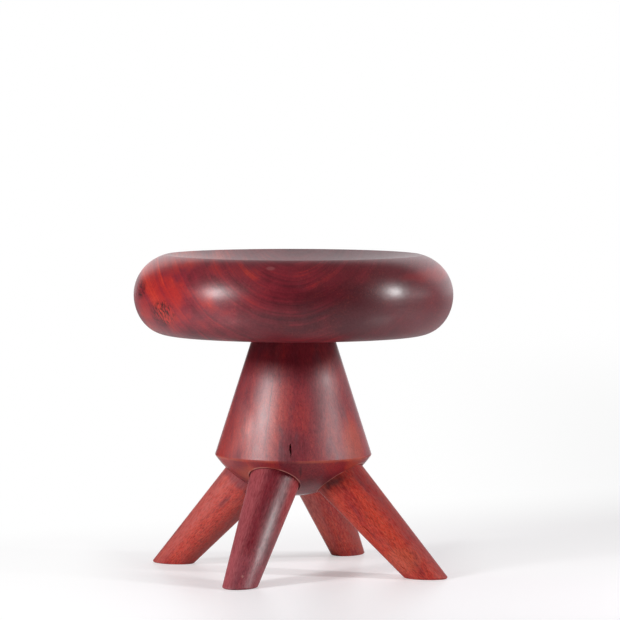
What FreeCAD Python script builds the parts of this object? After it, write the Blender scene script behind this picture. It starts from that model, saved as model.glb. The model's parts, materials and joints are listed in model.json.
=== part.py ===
import FreeCAD, Part
import math
import os

# A round turned stool in solid hardwood: a dished seat with a fat rounded edge, on a pedestal whose cone
# widens to a rim above a round bowl, with four splayed tapered legs let into the bowl.
# Millimetres, +Z up. The origin lies on the floor under the centre of the seat. The front is -Y.

# Seat: a thick disc. Its edge is two ovals that meet at the widest line. The upper one ends at a crest,
# rounded by a small radius, inside which the top is dished.
seat_radius = 225.0
seat_widest_height = 391.0
edge_top_width = 61.2
edge_top_rise = 58.0
edge_under_width = 47.8
edge_under_drop = 56.2
crest_inset = 45.0
dish_depth = 20.0
dish_crest_easing = 2.0

# Pedestal: a straight cone down to the rim, and below it a ball-shaped bowl with a small flat. The easing
# of the rim, like those of the housings and feet, is a narrow bevel that takes this much of each face.
pedestal_top_radius = 56.5
rim_radius = 110.5
rim_height = 164.8
rim_easing = 1.5
bowl_depth = 56.9
bowl_flat_radius = 19.0

# Spigot: turned on top of the pedestal and glued into the seat, which rests on the shoulder around it.
spigot_shoulder_width = 21.5
spigot_length = 50.0
spigot_chamfer = 3.0

# Legs: straight tapers. The radius at the floor is taken where the leg's centre line meets it. The line
# runs from the foot to a joint on the bowl, this share of the rim's radius away from the upright axis.
leg_reach = 202.2
joint_reach_share = 0.685
leg_foot_radius = 23.1
leg_shoulder_radius = 36.0
foot_easing = 2.0

# Leg joints: each leg's shoulder sits on the floor of a round housing, its tenon in a mortise behind it.
housing_depth = 19.0
housing_rim_easing = 1.2
tenon_shoulder_width = 17.0
tenon_length = 44.0
tenon_chamfer = 2.0

# Room for glue around and behind every spigot and tenon, and around the shoulders.
glue_clearance = 0.15
glue_end_gap = 3.0

# Cuts run this far past the surface that they open.
cut_overrun = 10.0

# Points closer than this count as one.
same_place = 1e-6

# Each leg was fitted by hand, so no two stand quite alike: its bearing in degrees around +Z from +X,
# its share of the common reach, and the degrees that it leans beyond the line to its joint.
leg_bearings = {"leg_front": -111.2, "leg_right": -24.1, "leg_back": 67.0, "leg_left": 154.2}
leg_reach_shares = {"leg_front": 0.994, "leg_right": 1.018, "leg_back": 1.016, "leg_left": 0.962}
leg_extra_splays = {"leg_front": 0.0, "leg_right": -0.3, "leg_back": -0.7, "leg_left": 1.6}

# Seat places that follow from the sizes above. The crest's turn is its angle on the upper oval.
seat_under_height = seat_widest_height - edge_under_drop
dish_radius = seat_radius - crest_inset
crest_turn = math.acos((edge_top_width - crest_inset) / edge_top_width)
crest_height = seat_widest_height + edge_top_rise * math.sin(crest_turn)
spigot_radius = pedestal_top_radius - spigot_shoulder_width

# The bowl is part of a ball through the rim and the edge of the flat, with its centre on the upright axis.
bowl_bottom = rim_height - bowl_depth
ball_rise = (rim_radius**2 - bowl_flat_radius**2 - bowl_depth**2) / (2 * bowl_depth)
ball_height = rim_height + ball_rise
ball_radius = math.hypot(rim_radius, ball_rise)

# The seams of the pedestal's turned faces are kept clear of the joints, midway between two legs.
seam_bearing = (leg_bearings["leg_back"] + leg_bearings["leg_left"]) / 2

joint_reach = joint_reach_share * rim_radius
joint_height = ball_height - math.sqrt(ball_radius**2 - joint_reach**2)
tenon_radius = leg_shoulder_radius - tenon_shoulder_width

origin = FreeCAD.Vector(0, 0, 0)
upwards = FreeCAD.Vector(0, 0, 1)
sideways = FreeCAD.Vector(0, 1, 0)


def at(radius, height):
    """A point of a turned profile, drawn in the XZ plane."""
    return FreeCAD.Vector(radius, 0, height)


def line(start, end):
    return Part.LineSegment(start, end).toShape()


def oval_arc(centre, half_width, half_height, start, end):
    """Part of an oval in the XZ plane, from the angle start to the angle end on its unit circle."""
    unit = Part.makeCircle(1, origin, upwards, start, end)
    stretch = FreeCAD.Matrix(
        half_width, 0, 0, centre.x,
        0, 0, -1, 0,
        0, half_height, 0, centre.z,
        0, 0, 0, 1,
    )
    return unit.transformGeometry(stretch)


def under_ball_arc(centre_height, radius, start_reach, end_reach):
    """The underside of a ball, between two distances from its upright axis."""
    start, end = math.asin(start_reach / radius), math.asin(end_reach / radius)
    turns = [start, (start + end) / 2, end]
    points = [at(radius * math.sin(t), centre_height - radius * math.cos(t)) for t in turns]
    return Part.Arc(*points).toShape()


def turned(edges):
    """The solid that a closed profile sweeps around the Z axis."""
    profile = Part.Face(Part.Wire(Part.__sortEdges__(edges)))
    return profile.revolve(origin, upwards, 360)


def closed_lines(points):
    return [line(a, b) for a, b in zip(points, points[1:] + points[:1])]


def edges_at(solid, radius, height):
    """The level circles of a turned solid that have this radius and height."""
    curved = [edge for edge in solid.Edges if not edge.Degenerated]
    circles = [edge for edge in curved if isinstance(edge.Curve, Part.Circle)]
    level = [edge for edge in circles if math.isclose(edge.Curve.Center.z, height)]
    return [edge for edge in level if math.isclose(edge.Curve.Radius, radius)]


def lies_on_floor(edge):
    return all(math.isclose(point.z, 0, abs_tol=same_place) for point in edge.discretize(5))


def turned_peg(radius, length, chamfer, base):
    """A peg that stands on the height base, with a chamfered end."""
    profile = [at(0, base), at(radius, base), at(radius, base + length - chamfer),
               at(radius - chamfer, base + length), at(0, base + length)]
    return turned(closed_lines(profile))


def make_seat():
    edge_top_centre = at(seat_radius - edge_top_width, seat_widest_height)
    edge_under_centre = at(seat_radius - edge_under_width, seat_widest_height)
    dish_ball_radius = (dish_radius**2 + dish_depth**2) / (2 * dish_depth)
    dish_bottom = crest_height - dish_depth
    outline = [
        line(at(0, seat_under_height), at(edge_under_centre.x, seat_under_height)),
        oval_arc(edge_under_centre, edge_under_width, edge_under_drop, -90, 0),
        oval_arc(edge_top_centre, edge_top_width, edge_top_rise, 0, math.degrees(crest_turn)),
        under_ball_arc(dish_bottom + dish_ball_radius, dish_ball_radius, 0, dish_radius),
        line(at(0, dish_bottom), at(0, seat_under_height)),
    ]
    seat = turned(outline)
    seat = seat.makeFillet(dish_crest_easing, edges_at(seat, dish_radius, crest_height))
    socket_depth = spigot_length + glue_end_gap
    socket = Part.makeCylinder(
        spigot_radius + glue_clearance, socket_depth + cut_overrun, at(0, seat_under_height - cut_overrun)
    )
    return seat.cut(socket)


def reach_of(name):
    return leg_reach * leg_reach_shares[name]


def splay_of(name):
    """How many degrees a leg's centre line leans from upright."""
    return math.degrees(math.atan2(reach_of(name) - joint_reach, joint_height)) + leg_extra_splays[name]


def shoulder_distance(name):
    """How far a leg's shoulder lies from the floor, along the leg's centre line.

    The line is followed from the floor to the ball of the bowl, and on by the depth of the housing.
    """
    lean = math.radians(splay_of(name))
    nearest = reach_of(name) * math.sin(lean) + ball_height * math.cos(lean)
    squared_miss = reach_of(name) ** 2 + ball_height**2 - nearest**2
    return nearest - math.sqrt(ball_radius**2 - squared_miss) + housing_depth


def placed_on_leg(shape, name):
    """Carries a shape from the upright axis to a leg's centre line, the origin to its foot."""
    lean = FreeCAD.Rotation(sideways, -splay_of(name))
    turn = FreeCAD.Rotation(upwards, leg_bearings[name])
    placed = shape.copy()
    placed.Placement = FreeCAD.Placement(turn.multVec(at(reach_of(name), 0)), turn * lean)
    return placed


def make_leg(name):
    """A straight taper with a square shoulder and a tenon, cut off level with the floor."""
    shoulder = shoulder_distance(name)
    taper = (leg_shoulder_radius - leg_foot_radius) / shoulder
    below_floor = leg_foot_radius * math.tan(math.radians(splay_of(name))) + cut_overrun
    profile = [at(0, -below_floor), at(leg_foot_radius - taper * below_floor, -below_floor),
               at(leg_shoulder_radius, shoulder), at(0, shoulder)]
    tenon = turned_peg(tenon_radius, tenon_length, tenon_chamfer, shoulder)
    leg = placed_on_leg(turned(closed_lines(profile)).fuse(tenon).removeSplitter(), name)
    ground = Part.makeCylinder(seat_radius + leg_reach, 2 * below_floor, at(0, -2 * below_floor))
    leg = leg.cut(ground)
    return leg.makeChamfer(foot_easing, [edge for edge in leg.Edges if lies_on_floor(edge)])


def leg_joint_cutter(name):
    """What is bored away for a leg: the housing for its shoulder, and the mortise behind that."""
    shoulder = shoulder_distance(name)
    housing_length = 2 * housing_depth + cut_overrun
    housing = Part.makeCylinder(
        leg_shoulder_radius + glue_clearance, housing_length, at(0, shoulder - housing_length)
    )
    mortise = Part.makeCylinder(
        tenon_radius + glue_clearance, tenon_length + glue_end_gap, at(0, shoulder)
    )
    return placed_on_leg(housing.fuse(mortise), name)


def mouth_on_ball(name):
    """The turn of a housing's mouth from straight down, seen from the ball's centre, and its half angle."""
    lean = math.radians(splay_of(name))
    radius = leg_shoulder_radius + glue_clearance
    miss = ball_height * math.sin(lean) - reach_of(name) * math.cos(lean)
    top = lean + math.asin((radius - miss) / ball_radius)
    bottom = lean - math.asin((radius + miss) / ball_radius)
    return (top + bottom) / 2, (top - bottom) / 2


def mouth_bevel_cutter(name):
    """A flat cone around a radius of the ball, which bevels the edge of a housing's mouth."""
    turn, half_angle = mouth_on_ball(name)
    outer_angle = half_angle + housing_rim_easing / ball_radius
    inner_radius, outer_radius = ball_radius * math.sin(half_angle), ball_radius * math.sin(outer_angle)
    inner_level = ball_radius * math.cos(half_angle) - housing_rim_easing
    outer_level = ball_radius * math.cos(outer_angle)
    growth = (outer_radius - inner_radius) / (outer_level - inner_level)
    bevel = Part.makeCone(
        inner_radius - growth * housing_rim_easing, outer_radius + growth * cut_overrun,
        outer_level - inner_level + housing_rim_easing + cut_overrun, at(0, inner_level - housing_rim_easing)
    )
    downwards = FreeCAD.Rotation(sideways, 180 - math.degrees(turn))
    bevel.Placement = FreeCAD.Placement(
        at(0, ball_height), FreeCAD.Rotation(upwards, leg_bearings[name]) * downwards
    )
    return bevel


def make_pedestal():
    outline = [
        line(at(0, bowl_bottom), at(bowl_flat_radius, bowl_bottom)),
        under_ball_arc(ball_height, ball_radius, bowl_flat_radius, rim_radius),
        line(at(rim_radius, rim_height), at(pedestal_top_radius, seat_under_height)),
        line(at(pedestal_top_radius, seat_under_height), at(0, seat_under_height)),
        line(at(0, seat_under_height), at(0, bowl_bottom)),
    ]
    pedestal = turned(outline)
    pedestal.rotate(origin, upwards, seam_bearing)
    pedestal = pedestal.makeChamfer(rim_easing, edges_at(pedestal, rim_radius, rim_height))
    pedestal = pedestal.fuse(turned_peg(spigot_radius, spigot_length, spigot_chamfer, seat_under_height))
    for name in leg_bearings:
        pedestal = pedestal.cut(leg_joint_cutter(name)).cut(mouth_bevel_cutter(name))
    return pedestal.removeSplitter()


def main():
    os.makedirs("parts", exist_ok=True)
    nodes = {"seat": make_seat(), "pedestal": make_pedestal()}
    for name in leg_bearings:
        nodes[name] = make_leg(name)
    for name, shape in nodes.items():
        shape.exportStep("parts/" + name + ".step")
        print(name, "solids", len(shape.Solids), "valid", shape.isValid(), "volume", round(shape.Volume))


main()
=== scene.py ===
import json
import math
import bpy
import bmesh
from mathutils import Matrix, Vector


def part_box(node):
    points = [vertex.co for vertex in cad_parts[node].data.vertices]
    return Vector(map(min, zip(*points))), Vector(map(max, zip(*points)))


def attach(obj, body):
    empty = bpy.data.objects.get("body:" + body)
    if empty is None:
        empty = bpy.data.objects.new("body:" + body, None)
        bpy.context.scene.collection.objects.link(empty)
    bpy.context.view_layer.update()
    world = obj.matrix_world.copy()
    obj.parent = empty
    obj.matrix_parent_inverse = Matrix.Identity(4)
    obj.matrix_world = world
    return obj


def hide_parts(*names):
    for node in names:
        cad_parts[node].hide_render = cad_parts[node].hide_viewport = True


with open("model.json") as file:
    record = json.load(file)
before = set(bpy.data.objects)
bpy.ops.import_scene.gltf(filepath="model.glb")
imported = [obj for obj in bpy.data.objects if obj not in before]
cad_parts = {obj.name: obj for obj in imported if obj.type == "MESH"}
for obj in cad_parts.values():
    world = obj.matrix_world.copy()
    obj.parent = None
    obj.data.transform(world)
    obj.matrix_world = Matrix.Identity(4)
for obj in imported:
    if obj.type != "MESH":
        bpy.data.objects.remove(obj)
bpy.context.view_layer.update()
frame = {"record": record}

# A turned hardwood stool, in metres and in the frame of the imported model, with angles in degrees. Each solid
# of the frame gets a smooth turned mesh of the same size, with rounded edges. The log of the seat lies front
# to back, the grain of the pedestal stands upright, and each leg's grain runs along the leg.

# Seat
edge_top_width = 0.0612
edge_top_rise = 0.058
edge_under_width = 0.0478
edge_under_drop = 0.0562
crest_inset = 0.045
crest_easing = 0.002
dish_depth = 0.020

# Pedestal
pedestal_top_radius = 0.0565
rim_radius = 0.1105
rim_easing = 0.0022
bowl_depth = 0.0569
bowl_flat_radius = 0.019
spigot_radius = 0.035
spigot_chamfer = 0.003

# Legs, each with the angle that its lean adds to the line from its foot to its joint
joint_reach_share = 0.685
leg_foot_radius = 0.0231
leg_shoulder_radius = 0.036
foot_easing = 0.002
housing_depth = 0.019
mouth_easing = 0.0006
tenon_radius = 0.019
tenon_length = 0.044
tenon_chamfer = 0.002
leg_extra_splays = {"leg_front": 0.0, "leg_right": -0.3, "leg_back": -0.7, "leg_left": 1.6}

# Glue room, and how far a cutter runs past the surface that it opens
glue_clearance = 0.00015
glue_end_gap = 0.003
cut_overrun = 0.02

# Mesh steps, the angle from which an edge is drawn hard, and how much large faces weigh in the shading
columns = 256
oval_steps = 28
dish_steps = 40
easing_steps = 5
leg_columns = 128
leg_rows = 32
split_steps = 14
hard_edge_angle = 40
large_face_weight = 100

# Checks in the wood: the two ends, the way the face looks, width, depth and sway
pedestal_splits = (
    (Vector((-0.0036, -0.1022, 0.1895)), Vector((-0.0032, -0.1092, 0.1680)), Vector((-0.035, -0.952, 0.303)),
     0.0030, 0.0040, 0.0006),)
leg_splits = {"leg_right": (
    (Vector((0.0677, -0.0609, 0.0959)), Vector((0.0914, -0.0732, 0.0805)), Vector((-0.60, -0.72, -0.35)),
     0.0018, 0.0030, 0.0008),
    (Vector((0.0956, -0.0731, 0.0721)), Vector((0.1150, -0.0819, 0.0578)), Vector((-0.55, -0.79, -0.27)),
     0.0020, 0.0030, -0.0008),
    (Vector((0.1496, -0.0928, 0.0186)), Vector((0.1593, -0.0969, 0.0108)), Vector((-0.55, -0.79, -0.27)),
     0.0014, 0.0020, 0.0003))}

# Outline of a check: its overrun above the face, the shares of its width and length that are left at its
# floor, the powers that shift its widest place and point its ends, and the waves of its sides and its middle
split_overrun = 0.002
split_floor_width_share = 0.15
split_floor_length_share = 0.7
split_widest_power = 0.6
split_point_power = 1.3
split_rough_share = 0.2
split_rough_waves = (17, 5)
split_sway_wave = 7

# Camera, fitted to the outline of the stool
camera_place = Vector((0.02324, -5.31257, 0.68810))
camera_pitch = -3.442
camera_roll = 0.100
camera_lens = 219.35
sensor_width = 36.0

# The white of the backdrop and of the floor where it has faded
white = (1, 1, 1, 1)

# Lamps: bearing from the front, rise, distance, width and height, and radiance
lamp_aim_height = 0.3
lamps = {
    "lamp_left": (-54, 20.5, 1.4, (0.18, 0.29), 54),
    "lamp_left_side": (-52, 20.5, 1.5, (0.65, 0.28), 9),
    "lamp_right": (74, 19.5, 1.5, (0.11, 0.29), 112),
    "lamp_right_side": (98, 9, 3.0, (1.3, 0.5), 2.8)}

# Floor: its colour for light and for the camera, a lift in the shadows, and a faint gloss
floor_size = 16.0
floor_gap = 0.0002
floor_colour = (0.86, 0.85, 0.86)
floor_seen_colour = (0.64, 0.635, 0.65)
floor_lift = 0.28
floor_gloss_colour = (0.16, 0.16, 0.16)
floor_gloss_roughness = 0.32

# Where the floor fades to white for the camera: start and end of each fade, and the most that it fades
back_fade = (-0.15, 0.80)
back_fade_slant = -0.65
round_fade = (0.9, 2.2)
left_fade = (-0.12, -0.34)
left_fade_most = 0.85
right_fade = (0.16, 0.30)
right_fade_most = 0.40
right_fade_depth = (-0.16, 0.02)

# Painted shadow: a very pale grey on the faded floor at the right, where the stool's shade falls, which ends
# far behind the stool
painted_shadow_side = (0.15, 0.80)
painted_shadow_depth = (5.5, 0.8)
painted_shadow_strength = 0.08

# Room around the stool: a dim light from all sides, a white wall behind, which is wider at middle heights, a
# pale wall at the right and a pale ceiling. The wall's way points right and back. An edge says how much of a
# direction has to point at a wall for it to start and to be full.
room_tint = (1.0, 0.95, 0.97)
room_light = 0.04
wall_way = (0.2, 0.97)
wall_edge = (0.745, 0.865)
wall_strength = 1.1
wall_widening = 0.12
wall_widening_start = (0.10, 0.35)
wall_widening_end = (0.70, 0.45)
right_wall_edge = (0.60, 0.95)
right_wall_strength = 0.25
ceiling_edge = (0.30, 0.85)
ceiling_strength = 0.15

# Wood, from its darkest tone to its brightest, and the tints that are laid over it
wood_tones = ((0.0, (0.035, 0.004, 0.009)), (0.28, (0.11, 0.007, 0.015)), (0.52, (0.23, 0.016, 0.028)),
              (0.76, (0.42, 0.025, 0.021)), (1.0, (0.62, 0.058, 0.028)))
smoke_tint = (0.13, 0.030, 0.045)
pore_tint = (0.04, 0.006, 0.009)
fleck_tint = (0.66, 0.115, 0.055)
# painted highlight along the pedestal's rim
rim_highlight_tint = (0.55, 0.11, 0.055)
# painted highlight where the legs enter the bowl
joint_highlight_tint = (0.60, 0.24, 0.20)
pore_strength = 0.4
joint_highlight_strength = 0.75

# Noises that all the wood shares, in bands to the metre of the rings' radius, or in grains to the metre
# across, deep and along the grain. A thin arc lies where its bands cross a level.
season_bands = 60
year_bands = 300
arc_bands = 90
arc_level = 0.5
arc_patch_grains = (20, 20, 3)
drift_grains = (34, 34, 9)
pore_grains = (850, 850, 150)

# How far noise moves the rings, veins and the painted lit and shaded sides of the legs, in metres, and the
# dark patches with painted shade under the bowl, as a share of their reach. Spots and marks have a fray, which
# moves their edge, and a width of that edge, as shares of their radii.
ring_sway = 0.022
vein_sway = 0.006
painted_side_sway = 0.02
patch_and_bowl_shade_sway_share = 2.0
spot_fray = 1.1
spot_edge = 0.6
mark_fray = 0.7
mark_edge = 0.5

# Values of a noise between which a layer of the wood comes in
arc_line = (0.022, 0.004)
arc_patches = (0.42, 0.62)
pore_walls = (0.26, 0.12)
smoke_patches = (0.54, 0.74)
fleck_lines = (0.55, 0.68)
fleck_patches = (0.42, 0.60)
hair_lines = (0.45, 0.75)
vein_breaks = (0.35, 0.55)
rim_highlight_patches = (0.30, 0.60)
joint_highlight_patches = (0.34, 0.56)
painted_side_grain = (0.34, 0.60)
painted_side_grain_least = 0.55
stroke_lines = (0.47, 0.55)

# How near its middle a local layer is full, as a share of its width or reach
vein_core_share = 0.2
rim_highlight_core_share = 0.3
patch_and_bowl_shade_core_share = 0.3

# Painted highlight where a leg enters the bowl: a pale line for the light that its eased mouth catches. How
# far the line lies outside the leg, how near to it the tint starts and is full, and how far below the rim
joint_highlight_offset = 0.0012
joint_highlight_line = (0.0018, 0.0006)
joint_highlight_drop = (0.002, 0.006)

# Painted highlight on the pedestal's rim, where its eased edge catches the light: how far below the rim its
# middle lies, and half its height
rim_highlight_drop = 0.0008
rim_highlight_half = 0.0028

# Logs: the height of the seat's axis, which runs front to back, the place and lean of the pedestal's, and
# how far each leg's runs beside the leg
seat_log_height = 0.508
pedestal_log_place = (-0.42, 0.10, 0)
pedestal_log_lean = -4
leg_log_offset = (0.03, 0.12, 0)

# Gloss and relief of the wood: the change of roughness with each noise, the share of facing at which the
# silhouettes get glossier, and the height of the fibres and pores
fibre_roughness = 0.12
mottle_roughness = 0.08
pore_roughness = 0.15
edge_facing = (0.75, 0.95)
fibre_relief = 0.5
pore_relief = -0.6
relief_strength = 0.3
relief_height = 0.0002

# Places that follow from the frame and the sizes above
seat_low, seat_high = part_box("seat")
pedestal_low, pedestal_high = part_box("pedestal")
# The middle of each leg's sole, which is a mount of the model
mounts = frame["record"]["mounts"]
soles = {mount["name"].replace("sole", "leg"): Vector(mount["pos_m"]) for mount in mounts}

seat_radius = (seat_high.x - seat_low.x) / 2
seat_under_height = seat_low.z
seat_widest_height = seat_under_height + edge_under_drop
dish_radius = seat_radius - crest_inset
crest_turn = math.acos((edge_top_width - crest_inset) / edge_top_width)
crest_height = seat_widest_height + edge_top_rise * math.sin(crest_turn)

bowl_bottom = pedestal_low.z
rim_height = bowl_bottom + bowl_depth
ball_rise = (rim_radius**2 - bowl_flat_radius**2 - bowl_depth**2) / (2 * bowl_depth)
ball_centre = Vector((0, 0, rim_height + ball_rise))
ball_radius = math.hypot(rim_radius, ball_rise)
joint_reach = joint_reach_share * rim_radius
joint_height = ball_centre.z - math.sqrt(ball_radius**2 - joint_reach**2)


# Meshes

def circle_point(turn, radius=1.0, height=0.0):
    """A point on a level circle around the upright axis."""
    return Vector((radius * math.cos(turn), radius * math.sin(turn), height))


def turns_of(count):
    """The angles of count columns around the upright axis, in radians."""
    return [2 * math.pi * i / count for i in range(count)]


def ring(radius, height, count):
    """A level circle of points, or a single point on the axis."""
    if radius == 0:
        return [Vector((0, 0, height))]
    return [circle_point(turn, radius, height) for turn in turns_of(count)]


def arc(centre, half_width, half_height, start, end, steps):
    """Points on part of an oval around centre, between two angles in radians."""
    turns = [start + (end - start) * i / steps for i in range(steps + 1)]
    return [centre + Vector((half_width * math.cos(turn), half_height * math.sin(turn))) for turn in turns]


def easing(start, end):
    """Radius vectors that swing from start to end in even steps."""
    angle = start.angle(end)
    shares = [i / easing_steps for i in range(easing_steps + 1)]
    return [(start * math.sin((1 - share) * angle) + end * math.sin(share * angle)) / math.sin(angle)
            for share in shares]


def rounded(before, corner, after, radius):
    """The points of a round that takes off a corner between two neighbours."""
    back, on = (before - corner).normalized(), (after - corner).normalized()
    half = back.angle(on) / 2
    centre = corner + (back + on).normalized() * radius / math.sin(half)
    start = corner + back * radius / math.tan(half) - centre
    end = corner + on * radius / math.tan(half) - centre
    return [centre + step for step in easing(start, end)]


def skinned(name, rows, place=Matrix.Identity(4)):
    """A closed mesh over rows of points. A row of a single point closes an end."""
    mesh = bmesh.new()
    count = max(len(row) for row in rows)
    corners = [[mesh.verts.new(place @ point) for point in row] for row in rows]
    full = [row * count if len(row) == 1 else row for row in corners]
    # At a closed end two corners of a face are one point, which the face takes once.
    for low, high in zip(full, full[1:]):
        for i in range(count):
            j = (i + 1) % count
            face = mesh.faces.new(dict.fromkeys((low[i], low[j], high[j], high[i])))
            face.smooth = True
    bmesh.ops.recalc_face_normals(mesh, faces=mesh.faces)
    data = bpy.data.meshes.new(name)
    mesh.to_mesh(data)
    mesh.free()
    made = bpy.data.objects.new(name, data)
    bpy.context.scene.collection.objects.link(made)
    return made


def turned(name, outline):
    """A piece that is turned around the upright axis."""
    return skinned(name, [ring(point.x, point.y, columns) for point in outline])


def cut_by(piece, cutter):
    """Cuts one mesh out of another, and removes the cutter."""
    cut = piece.modifiers.new(cutter.name, "BOOLEAN")
    cut.object = cutter
    cut.operation = "DIFFERENCE"
    cut.solver = "EXACT"
    with bpy.context.temp_override(object=piece, active_object=piece):
        bpy.ops.object.modifier_apply(modifier=cut.name)
    bpy.data.objects.remove(cutter)


def smoothed(piece):
    """Smooth shading, with hard edges where a cut leaves them."""
    for face in piece.data.polygons:
        face.use_smooth = True
    piece.data.set_sharp_from_angle(angle=math.radians(hard_edge_angle))
    return piece


def add_even_normals(piece):
    """Lets small rounds share the shading of the large faces beside them."""
    modifier = piece.modifiers.new("normals", "WEIGHTED_NORMAL")
    modifier.weight = large_face_weight
    modifier.keep_sharp = True


def make_seat():
    """Bore, fat edge, crest and dish, on one turned outline."""
    socket_radius = spigot_radius + glue_clearance
    socket_top = pedestal_high.z + glue_end_gap
    top_centre = Vector((seat_radius - edge_top_width, seat_widest_height))
    under_centre = Vector((seat_radius - edge_under_width, seat_widest_height))
    ball = (dish_radius**2 + dish_depth**2) / (2 * dish_depth)
    dish_turn = math.asin(dish_radius / ball)
    dish_centre = Vector((0, crest_height - dish_depth + ball))
    under = arc(under_centre, edge_under_width, edge_under_drop, -math.pi / 2, 0, oval_steps)
    top = arc(top_centre, edge_top_width, edge_top_rise, 0, crest_turn, oval_steps)
    dish = arc(dish_centre, ball, ball, dish_turn - math.pi / 2, -math.pi / 2, dish_steps)
    dish[-1].x = 0
    crest = rounded(top[-2], top[-1], dish[1], crest_easing)
    bore = [Vector((0, socket_top)), Vector((socket_radius, socket_top)),
            Vector((socket_radius, seat_under_height))]
    return turned("seat_turned", bore + under + top[1:-1] + crest + dish[1:])


def leg_splay(name):
    """The lean of a leg's centre line from the upright, in radians."""
    reach = soles[name].length
    return math.atan2(reach - joint_reach, joint_height) + math.radians(leg_extra_splays[name])


def leg_place(name):
    """Carries the upright axis to a leg's centre line, and the origin to its foot."""
    foot = soles[name]
    turn = Matrix.Rotation(math.atan2(foot.y, foot.x), 4, "Z")
    lean = Matrix.Rotation(-leg_splay(name), 4, "Y")
    return Matrix.Translation(foot) @ turn @ lean


def leg_axis(name):
    """The direction of a leg's centre line, upwards."""
    return leg_place(name).col[2].xyz


def leg_side(name):
    """The direction across a leg, to its right as seen from the front."""
    return leg_axis(name).cross(Vector((0, -1, 0))).normalized()


def shoulder_distance(name):
    """From the floor to the leg's shoulder, along its centre line."""
    centre = leg_place(name).inverted() @ ball_centre
    return centre.z - math.sqrt(ball_radius**2 - centre.x**2 - centre.y**2) + housing_depth


def make_leg(name):
    """A tapered leg with a sole that is level with the floor, a shoulder and a tenon."""
    shoulder = shoulder_distance(name)
    taper = (leg_shoulder_radius - leg_foot_radius) / shoulder
    lean = leg_splay(name)
    eased_corners, tops = [], []
    for turn in turns_of(leg_columns):
        across = math.sin(lean) * math.cos(turn)
        distance = -leg_foot_radius * across / (math.cos(lean) + taper * across)
        start = circle_point(turn, leg_foot_radius + taper * distance, distance)
        end = circle_point(turn, leg_shoulder_radius, shoulder)
        eased_corners.append(rounded(end, start, Vector((0, 0, 0)), foot_easing))
        tops.append(end)
    rows = [[Vector((0, 0, 0))]]
    for i in reversed(range(easing_steps + 1)):
        rows.append([corner[i] for corner in eased_corners])
    for i in range(1, leg_rows + 1):
        rows.append([corner[0].lerp(end, i / leg_rows) for corner, end in zip(eased_corners, tops)])
    tenon_end = shoulder + tenon_length
    rows += [ring(tenon_radius, shoulder, leg_columns),
             ring(tenon_radius, tenon_end - tenon_chamfer, leg_columns),
             ring(tenon_radius - tenon_chamfer, tenon_end, leg_columns),
             ring(0, tenon_end, leg_columns)]
    leg = skinned(name + "_turned", rows, leg_place(name))
    for split in leg_splits.get(name, ()):
        cut_by(leg, split_cutter(name, *split))
    return smoothed(leg)


def joint_cutter(name):
    """The housing and mortise of a leg, with a mouth that rolls over into the ball of the bowl."""
    place = leg_place(name)
    centre = place.inverted() @ ball_centre
    shoulder = shoulder_distance(name)
    housing = leg_shoulder_radius + glue_clearance
    mortise = tenon_radius + glue_clearance
    mortise_end = shoulder + tenon_length + glue_end_gap
    mouth = []
    for turn in turns_of(columns):
        out = circle_point(turn)
        pivot = out * (housing + mouth_easing)
        miss = (pivot - Vector((centre.x, centre.y, 0))).length
        pivot.z = centre.z - math.sqrt((ball_radius - mouth_easing)**2 - miss**2)
        away = (pivot - centre).normalized()
        roll = [pivot + step for step in easing(-out * mouth_easing, away * mouth_easing)]
        mouth.append(roll + [pivot + away * cut_overrun])
    lowest = min(points[-1].z for points in mouth)
    rows = [ring(0, mortise_end, columns), ring(mortise, mortise_end, columns),
            ring(mortise, shoulder, columns), ring(housing, shoulder, columns)]
    rows += [list(row) for row in zip(*mouth)]
    rows.append(ring(0, lowest - cut_overrun, columns))
    return skinned("cutter_" + name, rows, place)


def split_cutter(name, start, end, out, width, depth, sway):
    """A long thin wedge for a check in the wood, from start to end on a face that looks along out."""
    along = (end - start).normalized()
    across = along.cross(out).normalized()
    up = across.cross(along)
    first_wave, second_wave = split_rough_waves
    rows = []
    for lift, narrow, short in ((split_overrun, 1.0, 1.0), (0.0, 1.0, 1.0),
                                (-depth, split_floor_width_share, split_floor_length_share)):
        row = []
        for side in (1, -1):
            for step in range(split_steps):
                share = (step if side > 0 else split_steps - step) / split_steps
                bulge = math.sin(math.pi * share**split_widest_power)**split_point_power
                rough = 1 + split_rough_share * math.sin(first_wave * share) * math.sin(second_wave * share)
                drift = sway * math.sin(split_sway_wave * share) * math.sin(math.pi * share)
                reach = 0.5 + (share - 0.5) * short
                off = side * width / 2 * narrow * bulge * rough + drift
                row.append(start.lerp(end, reach) + across * off + up * lift)
        rows.append(row)
    middle = (start + end) / 2
    return skinned("cutter_" + name, [[middle + up * split_overrun]] + rows + [[middle - up * depth]])


def make_pedestal():
    """Bowl, rim, cone and spigot on one turned outline, with the legs' joints and a check cut in."""
    spigot_end = pedestal_high.z
    bowl_start = math.asin(bowl_flat_radius / ball_radius)
    bowl_end = math.asin(rim_radius / ball_radius)
    bowl = arc(Vector((0, ball_centre.z)), ball_radius, ball_radius,
               bowl_start - math.pi / 2, bowl_end - math.pi / 2, dish_steps)
    rim = Vector((rim_radius, rim_height))
    top = Vector((pedestal_top_radius, seat_under_height))
    rim_round = rounded(bowl[-2], rim, top, rim_easing)
    cone = [rim_round[-1].lerp(top, i / leg_rows) for i in range(1, leg_rows + 1)]
    spigot = [Vector((spigot_radius, seat_under_height)),
              Vector((spigot_radius, spigot_end - spigot_chamfer)),
              Vector((spigot_radius - spigot_chamfer, spigot_end)),
              Vector((0, spigot_end))]
    pedestal = turned("pedestal_turned", [Vector((0, bowl_bottom))] + bowl[:-1] + rim_round + cone + spigot)
    for name in soles:
        cut_by(pedestal, joint_cutter(name))
    for split in pedestal_splits:
        cut_by(pedestal, split_cutter("pedestal", *split))
    return smoothed(pedestal)


# Nodes

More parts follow.
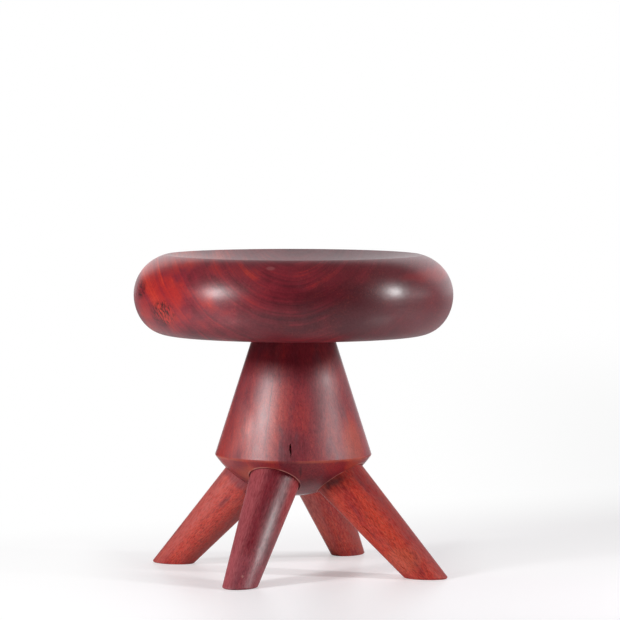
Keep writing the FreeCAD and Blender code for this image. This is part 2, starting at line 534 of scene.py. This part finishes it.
def node(tree, kind, inputs=None, **settings):
    """Adds a node, and sets or joins its inputs by name or number."""
    made = tree.nodes.new("ShaderNode" + kind)
    for key, value in settings.items():
        setattr(made, key, value)
    for key, value in (inputs or {}).items():
        if isinstance(value, bpy.types.NodeSocket):
            tree.links.new(value, made.inputs[key])
        else:
            made.inputs[key].default_value = value
    return made


def calc(tree, operation, *values):
    """An operation on numbers."""
    return node(tree, "Math", dict(enumerate(values)), operation=operation).outputs[0]


def vector(tree, operation, *values):
    """An operation on vectors."""
    return node(tree, "VectorMath", dict(enumerate(values)), operation=operation).outputs["Vector"]


def length(tree, value):
    """The length of a vector."""
    return node(tree, "VectorMath", {0: value}, operation="LENGTH").outputs["Value"]


def offset_along(tree, point, start, way):
    """How far point lies from start in the direction of way."""
    off = vector(tree, "SUBTRACT", point, start)
    return node(tree, "VectorMath", {0: off, 1: way}, operation="DOT_PRODUCT").outputs["Value"]


def remap(tree, value, start, end, low=0.0, high=1.0):
    """A soft step from low to high as value goes from start to end."""
    inputs = {0: value, 1: start, 2: end, 3: low, 4: high}
    return node(tree, "MapRange", inputs, interpolation_type="SMOOTHSTEP").outputs[0]


def both(tree, first, second):
    """The product of two shares."""
    return calc(tree, "MULTIPLY", first, second)


def distance_to(tree, value, place):
    """How far a number lies from place, on either side."""
    return calc(tree, "ABSOLUTE", calc(tree, "SUBTRACT", value, place))


def grains(tree, point, per_metre, detail, roughness=0.5):
    """Noise from 0 to 1, with so many grains to the metre across, deep and along."""
    spread = vector(tree, "MULTIPLY", point, per_metre)
    return node(tree, "TexNoise", {"Vector": spread, "Scale": 1.0, "Detail": detail,
                                   "Roughness": roughness}).outputs[0]


def bands(tree, distance, per_metre, detail):
    """Noise from 0 to 1 that changes along one distance only."""
    return node(tree, "TexNoise", {"W": distance, "Scale": per_metre, "Detail": detail},
                noise_dimensions="1D").outputs[0]


def swing(tree, value, amount):
    """Turns noise about a half into an offset about nothing."""
    return calc(tree, "MULTIPLY_ADD", value, amount, -amount / 2)


def blend(tree, share, under, over):
    """Goes from the colour under to the colour over as share goes from 0 to 1."""
    return node(tree, "Mix", {0: share, 6: under, 7: over}, data_type="RGBA").outputs[2]


def painted(tree, colour, share, strength, tint):
    """Lays a tint over colour, by a share that strength limits."""
    return blend(tree, both(tree, share, strength), colour, (*tint, 1))


def oval(tree, point, centre, radii, fray, edge):
    """1 inside an oval around centre and 0 outside, with a soft edge that fray moves in and out."""
    away = vector(tree, "DIVIDE", vector(tree, "SUBTRACT", point, centre), radii)
    return remap(tree, calc(tree, "ADD", length(tree, away), fray), 1.0, 1.0 - edge)


def new_material(name):
    """A material with no nodes yet."""
    material = bpy.data.materials.new(name)
    material.use_nodes = True
    material.node_tree.nodes.clear()
    return material


# Wood. Each function ending in share gives a local layer's share at a point, from the layer's place.

def wood_layers(tree, log, look):
    """The coordinates and noises that the wood is mixed from, around and along the axis of log."""
    point = node(tree, "TexCoord").outputs["Object"]
    back = log.inverted()
    inner = node(tree, "Mapping", {"Vector": point, "Location": back.translation + Vector(look["seed"]),
                                   "Rotation": back.to_euler()}).outputs[0]
    slow = vector(tree, "MULTIPLY", inner, look["sway_grains"])
    sway = node(tree, "TexNoise", {"Vector": slow, "Scale": 1.0, "Detail": 2.0}).outputs["Color"]
    sway = vector(tree, "MULTIPLY_ADD", sway, (ring_sway, ring_sway, 0), (-ring_sway / 2, -ring_sway / 2, 0))
    bent = vector(tree, "ADD", inner, sway)
    from_axis = vector(tree, "MULTIPLY", vector(tree, "SUBTRACT", bent, look["seed"]), (1, 1, 0))
    drift = grains(tree, bent, drift_grains, detail=2.0)
    pore = node(tree, "TexVoronoi", {"Vector": vector(tree, "MULTIPLY", bent, pore_grains),
                                     "Scale": 1.0}).outputs["Distance"]
    lean = (0, look.get("stroke_lean", 0.0), 0)
    return {"point": point, "bent": bent, "rings": length(tree, from_axis), "drift": drift,
            "mottle": grains(tree, bent, look["mottle_grains"], detail=3.0),
            "fibre": grains(tree, bent, look["fibre_grains"], detail=3.0, roughness=0.6),
            "pore": remap(tree, pore, *pore_walls),
            "height": node(tree, "SeparateXYZ", {0: point}).outputs["Z"],
            "fray": swing(tree, drift, spot_fray),
            "leaning": node(tree, "Mapping", {"Vector": point, "Rotation": lean}).outputs[0]}


def spot_share(tree, layers, centre, radii):
    """An oval with a wide frayed edge."""
    return oval(tree, layers["point"], centre, radii, layers["fray"], spot_edge)


def vein_share(tree, layers, across, width, centre, radii):
    """A broken line on a plane through the origin, whose normal is across, within a spot."""
    off = offset_along(tree, layers["point"], (0, 0, 0), across)
    off = calc(tree, "ADD", off, swing(tree, layers["drift"], vein_sway))
    line = remap(tree, calc(tree, "ABSOLUTE", off), width, width * vein_core_share)
    line = both(tree, line, remap(tree, layers["fibre"], *vein_breaks))
    return both(tree, line, spot_share(tree, layers, centre, radii))


def rim_highlight_share(tree, layers, height, half):
    """Painted highlight: a patchy level band at a height."""
    band = remap(tree, distance_to(tree, layers["height"], height), half, half * rim_highlight_core_share)
    return both(tree, band, remap(tree, layers["mottle"], *rim_highlight_patches))


def joint_highlight_share(tree, layers, foot, axis, radius):
    """Painted highlight where a leg enters the bowl: a patchy line at a radius from its axis, below the rim.
    """
    reach = vector(tree, "CROSS_PRODUCT", vector(tree, "SUBTRACT", layers["point"], foot), axis)
    line = remap(tree, distance_to(tree, length(tree, reach), radius), *joint_highlight_line)
    line = both(tree, line, remap(tree, layers["drift"], *joint_highlight_patches))
    low, full = (rim_height - drop for drop in joint_highlight_drop)
    return both(tree, line, remap(tree, layers["height"], low, full))


def painted_side_share(tree, layers, foot, way, start, end):
    """Painted light and shade on one side of a leg, from start to end off its axis along way, in grain
    strands.
    """
    off = offset_along(tree, layers["point"], foot, way)
    off = calc(tree, "ADD", off, swing(tree, layers["mottle"], painted_side_sway))
    strands = remap(tree, layers["fibre"], *painted_side_grain, painted_side_grain_least, 1.0)
    return both(tree, remap(tree, off, start, end), strands)


def patch_and_bowl_shade_share(tree, layers, centre, radii, reach):
    """A dark patch with painted shade under the bowl, as far as reach from its ball, within a spot."""
    off = vector(tree, "SUBTRACT", layers["point"], tuple(ball_centre))
    depth = calc(tree, "SUBTRACT", length(tree, off), ball_radius)
    depth = calc(tree, "ADD", depth, swing(tree, layers["mottle"], reach * patch_and_bowl_shade_sway_share))
    near = remap(tree, depth, reach, reach * patch_and_bowl_shade_core_share)
    return both(tree, near, spot_share(tree, layers, centre, radii))


def mark_share(tree, layers, centre, radii, strokes):
    """A small oval mark, drawn in strokes of so many to the metre, or filled where strokes is None."""
    mark = oval(tree, layers["point"], centre, radii, swing(tree, layers["drift"], mark_fray), mark_edge)
    if strokes is None:
        return mark
    lines = remap(tree, grains(tree, layers["leaning"], strokes, detail=2.0), *stroke_lines)
    return both(tree, mark, lines)


def lifted(tree, layers, value, spots):
    """Changes value in each spot by the amount at the end of its row."""
    for centre, radii, change in spots:
        value = calc(tree, "MULTIPLY_ADD", spot_share(tree, layers, centre, radii), change, value)
    return value


def wood_figure(tree, layers, look):
    """How far the rings, thin arcs and streaks lift or lower the tone."""
    season = bands(tree, layers["rings"], season_bands, detail=2.0)
    year = bands(tree, layers["rings"], year_bands, detail=1.0)
    streak = grains(tree, layers["bent"], look["streak_grains"], detail=3.0)
    crossing = distance_to(tree, bands(tree, layers["rings"], arc_bands, detail=1.0), arc_level)
    patches = remap(tree, grains(tree, layers["bent"], arc_patch_grains, detail=1.0), *arc_patches)
    thin_arc = both(tree, remap(tree, crossing, *arc_line), patches)
    figure = calc(tree, "ADD", swing(tree, season, look["season"]), swing(tree, year, look["year"]))
    figure = calc(tree, "MULTIPLY_ADD", thin_arc, look["arc"], figure)
    figure = calc(tree, "ADD", figure, swing(tree, streak, look["streak"]))
    for centre, radii, keep in look.get("calm", ()):
        calm = calc(tree, "MULTIPLY_ADD", spot_share(tree, layers, centre, radii), keep - 1, 1.0)
        figure = both(tree, figure, calm)
    return figure


def wood_base(tree, layers, look):
    """The wood's own colour, from its tone at each point."""
    tone = calc(tree, "ADD", wood_figure(tree, layers, look), look["tone"])
    tone = calc(tree, "ADD", tone, swing(tree, layers["mottle"], look["mottle"]))
    tone = calc(tree, "ADD", tone, swing(tree, layers["fibre"], look["fibre"]))
    ramp = node(tree, "ValToRGB", {0: lifted(tree, layers, tone, look.get("zones", ()))})
    stops = ramp.color_ramp.elements
    while len(stops) < len(wood_tones):
        stops.new(0.5)
    for stop, (place, colour) in zip(stops, wood_tones):
        stop.position = place
        stop.color = (*colour, 1)
    return ramp.outputs[0]


def wood_colour(tree, layers, look):
    """The wood's colour under its tints, smoke, flecks, hair lines, pores and local layers."""
    bent = layers["bent"]
    colour = wood_base(tree, layers, look)
    for centre, radii, tint, strength in look.get("tints", ()):
        colour = painted(tree, colour, spot_share(tree, layers, centre, radii), strength, tint)
    smoke = remap(tree, grains(tree, bent, look["smoke_grains"], detail=3.0), *smoke_patches)
    colour = painted(tree, colour, smoke, look["smoke"], smoke_tint)
    fleck = grains(tree, bent, look["fleck_grains"], detail=2.0, roughness=0.6)
    fleck = remap(tree, fleck, *fleck_lines)
    fleck = both(tree, fleck, remap(tree, layers["mottle"], *fleck_patches))
    colour = painted(tree, colour, fleck, look["fleck"], fleck_tint)
    hair = remap(tree, grains(tree, bent, look["hair_grains"], detail=1.0), *hair_lines)
    colour = painted(tree, colour, hair, look["hair"], pore_tint)
    colour = painted(tree, colour, layers["pore"], pore_strength, pore_tint)
    # Some local layers paint light and shade: highlights on the rim and at the joints, lit and shaded sides of
    # the legs, and shade under the bowl.
    for key, share_of in (("veins", vein_share), ("rim_highlight", rim_highlight_share), ("joint_highlights", joint_highlight_share),
                          ("painted_sheen_and_shade", painted_side_share), ("patches_and_bowl_shade", patch_and_bowl_shade_share), ("marks", mark_share)):
        for *place, tint, strength in look.get(key, ()):
            colour = painted(tree, colour, share_of(tree, layers, *place), strength, tint)
    return colour


def wood_shader(tree, layers, log, look):
    """A gloss that varies with the grain and is stretched around the turning, or across it."""
    fibre, pore = layers["fibre"], layers["pore"]
    rough = calc(tree, "ADD", look["roughness"], swing(tree, fibre, fibre_roughness))
    rough = calc(tree, "ADD", rough, swing(tree, layers["mottle"], mottle_roughness))
    rough = calc(tree, "MULTIPLY_ADD", pore, pore_roughness, rough)
    if "edge_gloss" in look:
        facing = node(tree, "LayerWeight").outputs["Facing"]
        rough = calc(tree, "SUBTRACT", rough, remap(tree, facing, *edge_facing, 0.0, look["edge_gloss"]))
    shine = calc(tree, "ADD", look["shine"], swing(tree, fibre, look["shine_grain"]))
    shine = lifted(tree, layers, shine, look.get("gleams", ()))
    relief = calc(tree, "MULTIPLY_ADD", pore, pore_relief, calc(tree, "MULTIPLY", fibre, fibre_relief))
    bump = node(tree, "Bump", {"Strength": relief_strength, "Distance": relief_height, "Height": relief})
    around = vector(tree, "CROSS_PRODUCT", look.get("turning_axis", tuple(log.col[2].xyz)),
                    node(tree, "NewGeometry").outputs["Normal"])
    return node(tree, "BsdfPrincipled", {
        "Base Color": wood_colour(tree, layers, look), "Roughness": rough, "Normal": bump.outputs[0],
        "Specular IOR Level": shine, "Anisotropic": look["stretch"],
        "Anisotropic Rotation": look.get("stretch_turn", 0.0), "Tangent": vector(tree, "NORMALIZE", around)})


def wood(name, log, look):
    """Deep red hardwood, whose rings run around the upright axis of log and whose grain runs along it."""
    material = new_material(name)
    tree = material.node_tree
    shader = wood_shader(tree, wood_layers(tree, log, look), log, look)
    node(tree, "OutputMaterial", {"Surface": shader.outputs[0]})
    return material


# Studio

def make_camera():
    """The camera, at the place and angle of the photograph's."""
    data = bpy.data.cameras.new("camera")
    data.lens = camera_lens
    data.sensor_width = sensor_width
    camera = bpy.data.objects.new("camera", data)
    aim = Matrix.Rotation(math.radians(90 + camera_pitch), 4, "X")
    roll = Matrix.Rotation(math.radians(camera_roll), 4, "Z")
    camera.matrix_world = Matrix.Translation(camera_place) @ aim @ roll
    bpy.context.scene.collection.objects.link(camera)
    bpy.context.scene.camera = camera


def make_softbox(name, bearing, rise, distance, size, radiance):
    """A lamp that faces the stool, seen from it at a bearing from the front and a rise above the level."""
    data = bpy.data.lights.new(name, "AREA")
    data.shape = "RECTANGLE"
    data.size, data.size_y = size
    data.energy = radiance * math.pi * data.size * data.size_y
    lamp = bpy.data.objects.new(name, data)
    turn, lift = math.radians(bearing), math.radians(rise)
    away = Vector((math.sin(turn) * math.cos(lift), -math.cos(turn) * math.cos(lift), math.sin(lift)))
    lamp.location = Vector((0, 0, lamp_aim_height)) + away * distance
    lamp.rotation_euler = away.to_track_quat("Z", "Y").to_euler()
    bpy.context.scene.collection.objects.link(lamp)


def floor_fade(tree, place, x, y):
    """How far the floor has faded to white, outside the stool's shadows."""
    back = calc(tree, "MULTIPLY_ADD", x, back_fade_slant, y)
    far = calc(tree, "MAXIMUM", remap(tree, back, *back_fade), remap(tree, length(tree, place), *round_fade))
    left = remap(tree, x, *left_fade, 0.0, left_fade_most)
    right = both(tree, remap(tree, x, *right_fade, 0.0, right_fade_most), remap(tree, y, *right_fade_depth))
    return calc(tree, "MAXIMUM", far, calc(tree, "MAXIMUM", left, right))


def floor_material():
    """Matt paper with a faint gloss, which the camera sees fade to white around the shadows."""
    material = new_material("floor")
    tree = material.node_tree
    place = node(tree, "TexCoord").outputs["Object"]
    flat = node(tree, "SeparateXYZ", {0: place})
    x, y = flat.outputs["X"], flat.outputs["Y"]
    seen = node(tree, "LightPath").outputs["Is Camera Ray"]
    shade = blend(tree, seen, (*floor_colour, 1), (*floor_seen_colour, 1))
    paper = node(tree, "BsdfDiffuse", {"Color": shade})
    lift = node(tree, "Emission", {"Color": white, "Strength": both(tree, seen, floor_lift)})
    gloss = node(tree, "BsdfGlossy", {"Color": (*floor_gloss_colour, 1), "Roughness": floor_gloss_roughness})
    lit = node(tree, "AddShader", {0: paper.outputs[0], 1: lift.outputs[0]})
    lit = node(tree, "AddShader", {0: lit.outputs[0], 1: gloss.outputs[0]})
    # A painted shadow: pale grey at the right of the faded floor
    painted_shadow = both(tree, remap(tree, x, *painted_shadow_side), remap(tree, y, *painted_shadow_depth))
    pale = node(tree, "Emission", {"Color": white,
                                   "Strength": calc(tree, "MULTIPLY_ADD", painted_shadow, -painted_shadow_strength, 1.0)})
    fade = both(tree, floor_fade(tree, place, x, y), seen)
    mix = node(tree, "MixShader", {0: fade, 1: lit.outputs[0], 2: pale.outputs[0]})
    node(tree, "OutputMaterial", {"Surface": mix.outputs[0]})
    return material


def make_floor():
    """A wide floor just below the soles."""
    half = floor_size / 2
    sides = ((-half, -half), (half, -half), (half, half), (-half, half))
    corners = [Vector((x, y, -floor_gap)) for x, y in sides]
    floor = skinned("floor", [corners, [Vector((0, 0, -floor_gap))]])
    floor.data.materials.append(floor_material())


def make_world():
    """A pale room that lights the stool. The camera sees plain white in its place."""
    world = bpy.data.worlds.new("studio")
    bpy.context.scene.world = world
    world.use_nodes = True
    tree = world.node_tree
    tree.nodes.clear()
    way = node(tree, "SeparateXYZ", {0: node(tree, "TexCoord").outputs["Generated"]})
    x, y, z = way.outputs["X"], way.outputs["Y"], way.outputs["Z"]
    behind = calc(tree, "MULTIPLY_ADD", x, wall_way[0], calc(tree, "MULTIPLY", y, wall_way[1]))
    wider = both(tree, remap(tree, z, *wall_widening_start, 0.0, wall_widening),
                 remap(tree, z, *wall_widening_end))
    behind = calc(tree, "ADD", behind, wider)
    light = room_light
    for facing, edge, strength in ((behind, wall_edge, wall_strength),
                                   (x, right_wall_edge, right_wall_strength),
                                   (z, ceiling_edge, ceiling_strength)):
        light = calc(tree, "ADD", remap(tree, facing, *edge, 0.0, strength), light)
    room = node(tree, "Background", {"Color": (*room_tint, 1), "Strength": light})
    backdrop = node(tree, "Background", {"Color": white, "Strength": 1.0})
    seen = node(tree, "LightPath").outputs["Is Camera Ray"]
    mix = node(tree, "MixShader", {0: seen, 1: room.outputs[0], 2: backdrop.outputs[0]})
    node(tree, "OutputWorld", {"Surface": mix.outputs[0]})


def show(piece, cad_node, material):
    """Puts a dressed piece in the place of its solid."""
    piece.data.materials.clear()
    piece.data.materials.append(material)
    add_even_normals(piece)
    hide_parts(cad_node)
    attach(piece, "root")


# Looks. Each has a seed that moves its noises, the tone that the wood varies about, its roughness and shine,
# how far the gloss is stretched, grains to the metre across, deep and along the grain, the strengths of its
# layers, and lists of local layers. A row of a list starts with a place, in most an oval's centre and radii,
# and ends with the change there: in calm the share of the figure that is kept, in zones the lift of the tone,
# in gleams the change of the shine, and in the other lists a tint and its strength.

# The seat is seen on its end grain, with a red side at the left and a dark one at the right.
seat_look = {
    "seed": (0.0, 0.0, 0.0), "tone": 0.36, "roughness": 0.345, "stretch": 0.50, "stretch_turn": 0.25,
    "turning_axis": (0, 0, 1), "shine": 0.5, "shine_grain": 0.3,
    "sway_grains": (7, 7, 2), "mottle_grains": (14, 14, 5), "mottle": 0.26, "streak_grains": (150, 150, 4),
    "streak": 0.14, "fibre_grains": (420, 420, 16), "fibre": 0.16, "hair_grains": (1300, 1300, 60),
    "hair": 0.22, "fleck_grains": (500, 500, 40), "fleck": 0.14, "smoke_grains": (26, 26, 6), "smoke": 0.35,
    "season": 0.40, "year": 0.24, "arc": 0.18, "stroke_lean": 0.5,
    "calm": (((0.17, 0, 0.39), (0.18, 0.6, 0.12), 0.35),),
    "gleams": (((-0.228, 0, 0.385), (0.040, 0.3, 0.07), -0.25),),
    "zones": (((-0.24, 0, 0.378), (0.185, 0.6, 0.150), 0.38),
              ((-0.09, 0, 0.44), (0.10, 0.5, 0.03), 0.14),
              ((0.0, 0, 0.425), (0.10, 0.5, 0.022), 0.12),
              ((-0.040, 0, 0.398), (0.055, 0.6, 0.035), 0.10),
              # painted shade: darkens the far left end of the seat
              ((-0.238, 0, 0.385), (0.034, 0.3, 0.10), -0.34),
              ((-0.165, -0.10, 0.346), (0.09, 0.2, 0.022), -0.14),
              ((0.195, 0, 0.425), (0.05, 0.3, 0.016), 0.26),
              ((0.125, 0, 0.408), (0.07, 0.3, 0.016), -0.12),
              ((0.06, 0, 0.38), (0.14, 0.5, 0.05), -0.15)),
    "tints": (((0.14, 0, 0.385), (0.18, 0.6, 0.08), (0.090, 0.012, 0.018), 0.55),
              ((0.170, 0, 0.4235), (0.042, 0.3, 0.010), (0.24, 0.012, 0.016), 0.55)),
    "marks": (((-0.181, -0.128, 0.369), (0.028, 0.045, 0.023), (560, 560, 120), (0.012, 0.003, 0.005), 0.95),
              ((-0.211, -0.077, 0.402), (0.011, 0.03, 0.018), (560, 560, 120), (0.012, 0.003, 0.005), 0.9),
              ((-0.0305, -0.200, 0.437), (0.0075, 0.012, 0.0034), None, (0.45, 0.17, 0.17), 0.28))}

# The pedestal is brighter at both sides than in the middle, with a painted highlight on its rim and painted
# highlights where the legs enter it.
pedestal_look = {
    "seed": (0.7, 0.2, 0.4), "tone": 0.51, "roughness": 0.385, "stretch": 0.71, "edge_gloss": 0.18,
    "shine": 0.49, "shine_grain": 0.45,
    "sway_grains": (6, 6, 1), "mottle_grains": (28, 28, 8), "mottle": 0.38, "streak_grains": (160, 160, 5),
    "streak": 0.20, "fibre_grains": (520, 520, 40), "fibre": 0.38, "hair_grains": (1300, 1300, 120),
    "hair": 0.50, "fleck_grains": (600, 600, 90), "fleck": 0.16, "smoke_grains": (80, 80, 8), "smoke": 0.55,
    "season": 0.16, "year": 0.10, "arc": 0.04,
    "zones": (((0.0, -0.09, 0.235), (0.035, 0.06, 0.055), 0.11),
              # painted shade under the seat, on the top of the cone
              ((0.0, 0.0, 0.335), (0.12, 0.12, 0.030), -0.14),
              ((0.0, -0.10, 0.185), (0.03, 0.05, 0.025), -0.06),
              ((0.04, -0.09, 0.130), (0.05, 0.06, 0.030), -0.16),
              ((0.09, -0.05, 0.19), (0.04, 0.06, 0.05), 0.14),
              ((-0.10, -0.04, 0.19), (0.05, 0.08, 0.09), 0.20),
              ((-0.050, -0.08, 0.20), (0.045, 0.06, 0.08), 0.20),
              ((0.055, -0.08, 0.19), (0.03, 0.05, 0.07), 0.10)),
    "tints": (((-0.06, -0.09, 0.140), (0.07, 0.06, 0.022), (0.48, 0.090, 0.050), 0.75),
              ((0.085, -0.06, 0.180), (0.02, 0.05, 0.05), (0.50, 0.095, 0.045), 0.4),
              ((0.05, -0.09, 0.185), (0.012, 0.05, 0.025), (0.12, 0.035, 0.06), 0.45)),
    "veins": (((0.924, -0.383, 0), 0.0011, (-0.034, -0.08, 0.222), (0.04, 0.05, 0.075),
               (0.05, 0.012, 0.02), 0.6),),
    # Painted highlights: pale lines on the bowl around the mouth of each leg
    "joint_highlights": [(tuple(soles[name]), tuple(leg_axis(name)), leg_shoulder_radius + joint_highlight_offset,
                 joint_highlight_tint, joint_highlight_strength) for name in soles],
    # Painted highlight along the rim's eased edge
    "rim_highlight": ((rim_height - rim_highlight_drop, rim_highlight_half, rim_highlight_tint, 0.5),),
    "gleams": (((0.08, -0.07, 0.215), (0.06, 0.08, 0.13), -0.19),
               ((-0.085, -0.05, 0.21), (0.035, 0.06, 0.10), 0.55),
               ((-0.050, -0.08, 0.24), (0.032, 0.05, 0.055), 0.15)),
    "marks": (((0.0105, -0.098, 0.150), (0.0028, 0.03, 0.014), None, (0.03, 0.006, 0.010), 0.6),)}

# The legs share one look, and each has its own tone and the painted light or shade on its sides.
leg_look = {
    "roughness": 0.47, "stretch": 0.65, "edge_gloss": 0.27, "shine": 0.5, "shine_grain": 1.2,
    "sway_grains": (12, 12, 4), "mottle_grains": (40, 40, 11), "mottle": 0.85,
    "streak_grains": (160, 160, 14), "streak": 0.22, "fibre_grains": (430, 430, 95), "fibre": 0.62,
    "hair_grains": (1100, 1100, 200), "hair": 0.55, "fleck_grains": (480, 480, 100), "fleck": 0.50,
    "smoke_grains": (70, 70, 18), "smoke": 0.65, "season": 0.14, "year": 0.05, "arc": 0.0}
# Where the painted light and shade on each leg's sides is measured from: its foot, and the way across it
painted_side_of = {name: (tuple(soles[name]), tuple(leg_side(name))) for name in soles}
leg_looks = {
    "leg_front": {
        "seed": (0.3, 0.9, 0.1), "tone": 0.41, "roughness": 0.44, "stretch": 0.35, "shine": 0.44,
        "mottle": 0.40, "fibre": 0.36, "fleck": 0.08, "smoke": 0.30,
        # Painted light on both sides: a pale pink sheen at the left and a brighter red at the right edge
        "painted_sheen_and_shade": ((*painted_side_of["leg_front"], -0.004, -0.022, (0.50, 0.105, 0.12), 0.66),
                   (*painted_side_of["leg_front"], 0.016, 0.028, (0.50, 0.07, 0.07), 0.55)),
        # painted reflection: a purple-grey sheen of the left lamps on the lower leg, near the foot
        "tints": (((-0.07, -0.20, 0.02), (0.06, 0.06, 0.06), (0.34, 0.075, 0.095), 0.55),),
        "gleams": (((-0.033, -0.17, 0.07), (0.026, 0.08, 0.07), 0.42),),
        "marks": (((-0.068, -0.2028, 0.0173), (0.0022, 0.01, 0.0022), None, (0.45, 0.20, 0.18), 0.6),)},
    "leg_right": {
        "seed": (0.5, 0.1, 0.9), "tone": 0.92, "smoke": 0.50,
        # Painted shade on the right side
        "painted_sheen_and_shade": ((*painted_side_of["leg_right"], 0.004, 0.026, (0.19, 0.028, 0.033), 0.68),),
        "tints": (((0.152, -0.096, 0.027), (0.034, 0.05, 0.024), (0.62, 0.11, 0.055), 0.60),),
        # A dark patch and painted shade of the bowl at the top of the leg
        "patches_and_bowl_shade": (((0.066, -0.06, 0.122), (0.035, 0.05, 0.028), 0.012, (0.085, 0.008, 0.012), 0.8),)},
    "leg_back": {
        "seed": (0.9, 0.6, 0.3), "tone": 0.82,
        # Painted shade on the right side and a painted pale sheen on the left
        "painted_sheen_and_shade": ((*painted_side_of["leg_back"], 0.000, 0.022, (0.16, 0.032, 0.032), 0.66),
                   (*painted_side_of["leg_back"], -0.004, -0.022, (0.62, 0.15, 0.11), 0.60))},
    "leg_left": {
        "seed": (0.2, 0.5, 0.6), "tone": 0.84,
        # Painted shade on the right side and a painted pale sheen on the left
        "painted_sheen_and_shade": ((*painted_side_of["leg_left"], 0.004, 0.028, (0.15, 0.028, 0.028), 0.66),
                   (*painted_side_of["leg_left"], -0.002, -0.020, (0.62, 0.17, 0.15), 0.58)),
        "tints": (((-0.12, 0.02, 0.06), (0.12, 0.10, 0.10), (0.66, 0.085, 0.060), 0.55),),
        # A dark patch and painted shade of the bowl at the top of the leg
        "patches_and_bowl_shade": (((-0.09, 0.0, 0.130), (0.045, 0.06, 0.03), 0.016, (0.15, 0.035, 0.055), 0.55),)}}

# The stage and the stool

bpy.context.scene.view_settings.view_transform = "Standard"
make_camera()
make_world()
make_floor()
for lamp_name, lamp_values in lamps.items():
    make_softbox(lamp_name, *lamp_values)

seat_log = Matrix.Translation((0, 0, seat_log_height)) @ Matrix.Rotation(math.radians(90), 4, "X")
pedestal_lean = Matrix.Rotation(math.radians(pedestal_log_lean), 4, "Y")
pedestal_log = Matrix.Translation(pedestal_log_place) @ pedestal_lean
show(make_seat(), "seat", wood("seat_wood", seat_log, seat_look))
show(make_pedestal(), "pedestal", wood("pedestal_wood", pedestal_log, pedestal_look))
for leg_name, own_look in leg_looks.items():
    leg_log = leg_place(leg_name) @ Matrix.Translation(leg_log_offset)
    leg_wood = wood(leg_name + "_wood", leg_log, {**leg_look, **own_look})
    show(make_leg(leg_name), leg_name, leg_wood)
